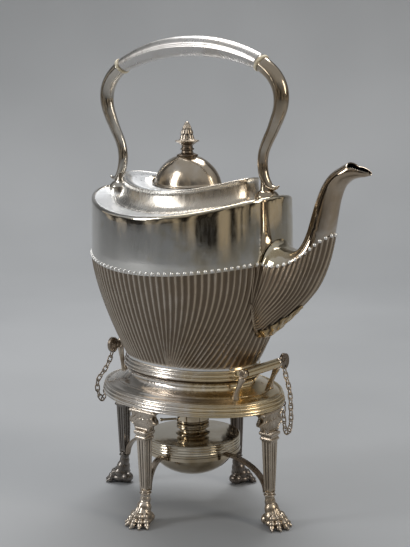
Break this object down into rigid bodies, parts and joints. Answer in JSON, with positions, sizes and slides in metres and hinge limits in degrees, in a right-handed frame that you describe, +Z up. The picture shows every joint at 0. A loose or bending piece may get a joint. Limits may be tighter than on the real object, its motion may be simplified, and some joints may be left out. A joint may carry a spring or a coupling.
{
  "type": "spirit kettle on stand",
  "caption": "Oval silver-plated spirit kettle with spout and fixed handle, hinged by drawn pins to a footed stand that holds a spirit burner.",
  "frame": {"origin": "on the floor plane under the middle of the stand's oval, midway between the four paw feet", "axes": "+X towards the spout, +Z up, +Y across the kettle towards the front pin's knob"},
  "size_m": [0.2622, 0.1568, 0.3759],
  "materials": {
    "kettle_silver": "polished silver plate",
    "stand_silver": "worn, warm-tarnished silver plate",
    "fitting_silver": "worn silver plate",
    "steel": "plain",
    "brass": "sooted",
    "ivory": "polished ivory-coloured",
    "wick_cotton": "woven cotton"
  },
  "bodies": {
    "stand": {"burner_ring": "stand_silver", "chain_eyelets": "fitting_silver", "front_chain": "fitting_silver", "front_lugs": "stand_silver", "leg_head_front": "stand_silver", "leg_head_left": "stand_silver", "leg_head_rear": "stand_silver", "leg_head_right": "stand_silver", "leg_paw_front": "stand_silver", "leg_paw_left": "stand_silver", "leg_paw_rear": "stand_silver", "leg_paw_right": "stand_silver", "leg_shaft_front": "stand_silver", "leg_shaft_left": "stand_silver", "leg_shaft_rear": "stand_silver", "leg_shaft_right": "stand_silver", "rear_chain": "fitting_silver", "rear_lugs": "stand_silver", "stand_border": "stand_silver", "stand_collar": "stand_silver", "stand_plate": "stand_silver", "stretcher_front": "stand_silver", "stretcher_left": "stand_silver", "stretcher_rear": "stand_silver", "stretcher_right": "stand_silver"},
    "kettle": {"kettle_body": "kettle_silver", "kettle_base": "kettle_silver", "kettle_foot": "kettle_silver", "shoulder_plate": "kettle_silver", "neck_wall": "kettle_silver", "deck_plate": "kettle_silver", "spout": "kettle_silver", "spout_leaf": "kettle_silver", "bead_wire": "kettle_silver", "handle_socket_front": "kettle_silver", "handle_socket_rear": "kettle_silver", "handle_arm_front": "kettle_silver", "handle_arm_rear": "kettle_silver", "handle_grip": "kettle_silver", "handle_dowels": "steel", "insulator_ring_front": "ivory", "insulator_ring_rear": "ivory", "front_barrel": "kettle_silver", "rear_saddle": "kettle_silver", "deck_hinge_leaf": "kettle_silver", "lid_hinge_pin": "steel"},
    "lid": {"lid_dome": "kettle_silver", "lid_bezel": "kettle_silver", "lid_knuckle": "kettle_silver", "finial": "kettle_silver", "finial_nut": "steel"},
    "front_pin": {"front_pin": "fitting_silver"},
    "rear_pin": {"rear_pin": "fitting_silver"},
    "burner": {"burner_bowl": "stand_silver", "burner_top": "stand_silver", "burner_neck": "stand_silver", "wick_tube": "brass", "wick": "wick_cotton"},
    "regulator": {"regulator_sleeve": "stand_silver", "regulator_arms": "stand_silver"}
  },
  "joints": [
    {"name": "kettle_tilt", "type": "hinge", "parent": "stand", "child": "kettle", "pos_m": [0.07, 0, 0.124], "axis": [0, 1, 0], "range_deg": [0, 50]},
    {"name": "lid_hinge", "type": "hinge", "parent": "kettle", "child": "lid", "pos_m": [-0.0352, 0, 0.2654], "axis": [0, -1, 0], "range_deg": [0, 68]},
    {"name": "front_pin_slide", "type": "slide", "parent": "stand", "child": "front_pin", "axis": [0, 1, 0], "range_m": [0, 0.05], "deforming": ["front_chain"]},
    {"name": "rear_pin_slide", "type": "slide", "parent": "stand", "child": "rear_pin", "axis": [0, -1, 0], "range_m": [0, 0.032], "deforming": ["rear_chain"]},
    {"name": "burner_lift", "type": "slide", "parent": "stand", "child": "burner", "axis": [0, 0, 1], "range_m": [0, 0.034]},
    {"name": "regulator_turn", "type": "hinge", "parent": "burner", "child": "regulator", "pos_m": [0, 0, 0.072], "axis": [0, 0, 1], "range_deg": [-45, 60]}
  ]
}
